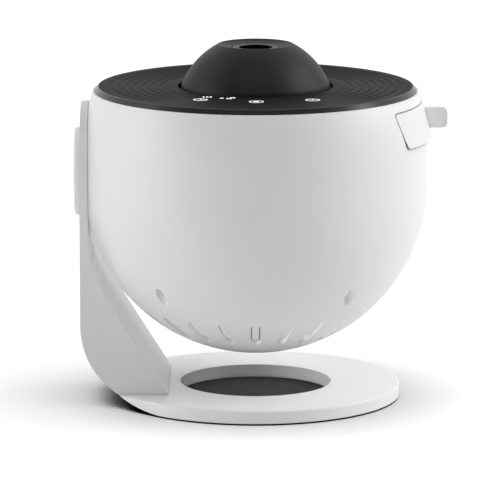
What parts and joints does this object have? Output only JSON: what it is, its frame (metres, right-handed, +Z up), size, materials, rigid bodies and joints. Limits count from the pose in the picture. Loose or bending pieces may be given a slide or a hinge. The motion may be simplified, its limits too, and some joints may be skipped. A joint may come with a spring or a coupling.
{
  "type": "planetarium projector",
  "caption": "Home planetarium projector: a bowl-shaped head with a focusing lens dome and a slide-out star disc tray, tilting in an L-shaped stand on a ring base.",
  "frame": {"origin": "centre of the base ring's underside, where the rubber pad rests", "axes": "+Z up along the optical axis with the head level, +X from the arm towards the disc tray, +Y away from the front with the touch marks"},
  "size_m": [0.1623, 0.15, 0.1557],
  "materials": {
    "white_shell": "satin moulded",
    "black_cover": "fine matt texture",
    "black_dome": "soft matt",
    "black_rubber": "matt",
    "grey_tab": "soft matt",
    "white_print": "printed",
    "black_plate": "matt",
    "steel": "turned",
    "screw_steel": "dull zinc",
    "hub_alloy": "die cast",
    "nylon": "natural nylon",
    "inner_plastic": "plain moulded",
    "sink_alloy": "extruded",
    "circuit_board": "solder mask",
    "led_yellow": "phosphor",
    "lens_glass": "polished",
    "socket_metal": "stamped",
    "motor_can": "drawn",
    "disc_film": "printed film"
  },
  "bodies": {
    "stand": {"stand_frame": "white_shell", "gusset_cover": "white_shell", "base_plate": "black_plate", "ballast_ring": "steel", "base_screws": "screw_steel", "rubber_pad": "black_rubber", "pivot_bush": "nylon", "thrust_washer": "nylon", "friction_washer": "steel", "pivot_cap": "white_shell"},
    "head": {"bowl_shell": "white_shell", "lower_bowl": "white_shell", "pivot_hub": "hub_alloy", "hub_screws": "screw_steel", "pivot_nut": "steel", "top_cover": "black_cover", "touch_icons": "white_print", "touch_board": "circuit_board", "chassis": "inner_plastic", "bowl_screws": "screw_steel", "tray_deck": "inner_plastic", "deck_screws": "screw_steel", "heat_sink": "sink_alloy", "fan_frame": "inner_plastic", "fan_screws": "screw_steel", "led_board": "circuit_board", "led_chip": "led_yellow", "condenser_tube": "inner_plastic", "lower_condenser_lens": "lens_glass", "condenser_spacer": "inner_plastic", "upper_condenser_lens": "lens_glass", "condenser_ring": "inner_plastic", "condenser_screws": "screw_steel", "main_board": "circuit_board", "power_socket": "socket_metal", "drive_motor": "motor_can", "motor_screws": "screw_steel", "focus_guide": "inner_plastic"},
    "focus_dome": {"focus_dome": "black_dome", "lens_bezel": "black_dome"},
    "lens_barrel": {"lens_barrel": "inner_plastic", "rear_lens": "lens_glass", "rear_lens_ring": "inner_plastic", "front_lens": "lens_glass", "front_lens_ring": "inner_plastic"},
    "disc_tray": {"disc_tray": "inner_plastic", "tray_front": "white_shell", "tray_screws": "screw_steel", "pull_tab": "grey_tab"},
    "disc_carrier": {"carrier_gear": "nylon", "star_disc": "disc_film", "disc_ring": "inner_plastic"},
    "pinion": {"drive_pinion": "nylon", "motor_shaft": "steel"},
    "fan_rotor": {"fan_rotor": "inner_plastic"}
  },
  "joints": [
    {"name": "head_tilt", "type": "hinge", "parent": "stand", "child": "head", "pos_m": [-0.0742, 0, 0.0996], "axis": [1, 0, 0], "range_deg": [-90, 90]},
    {"name": "focus_turn", "type": "hinge", "parent": "head", "child": "focus_dome", "pos_m": [0, 0, 0.14], "axis": [0, 0, 1], "range_deg": [-40, 60]},
    {"name": "lens_slide", "type": "slide", "parent": "focus_dome", "child": "lens_barrel", "axis": [0, 0, 1], "range_m": [-0.0012, 0.0018]},
    {"name": "tray_slide", "type": "slide", "parent": "head", "child": "disc_tray", "axis": [1, 0, 0], "range_m": [0, 0.08]},
    {"name": "carrier_spin", "type": "hinge", "parent": "disc_tray", "child": "disc_carrier", "pos_m": [0, 0, 0.12], "axis": [0, 0, 1], "continuous": true},
    {"name": "pinion_spin", "type": "hinge", "parent": "head", "child": "pinion", "pos_m": [-0.04, 0, 0.12], "axis": [0, 0, 1], "continuous": true},
    {"name": "fan_spin", "type": "hinge", "parent": "head", "child": "fan_rotor", "pos_m": [0, 0, 0.043], "axis": [0, 0, 1], "continuous": true}
  ],
  "couplings": [
    {"joint": "lens_slide", "follows": "focus_turn", "m_per_rad": 0.0017189},
    {"joint": "pinion_spin", "follows": "carrier_spin", "ratio": -4.5556}
  ]
}
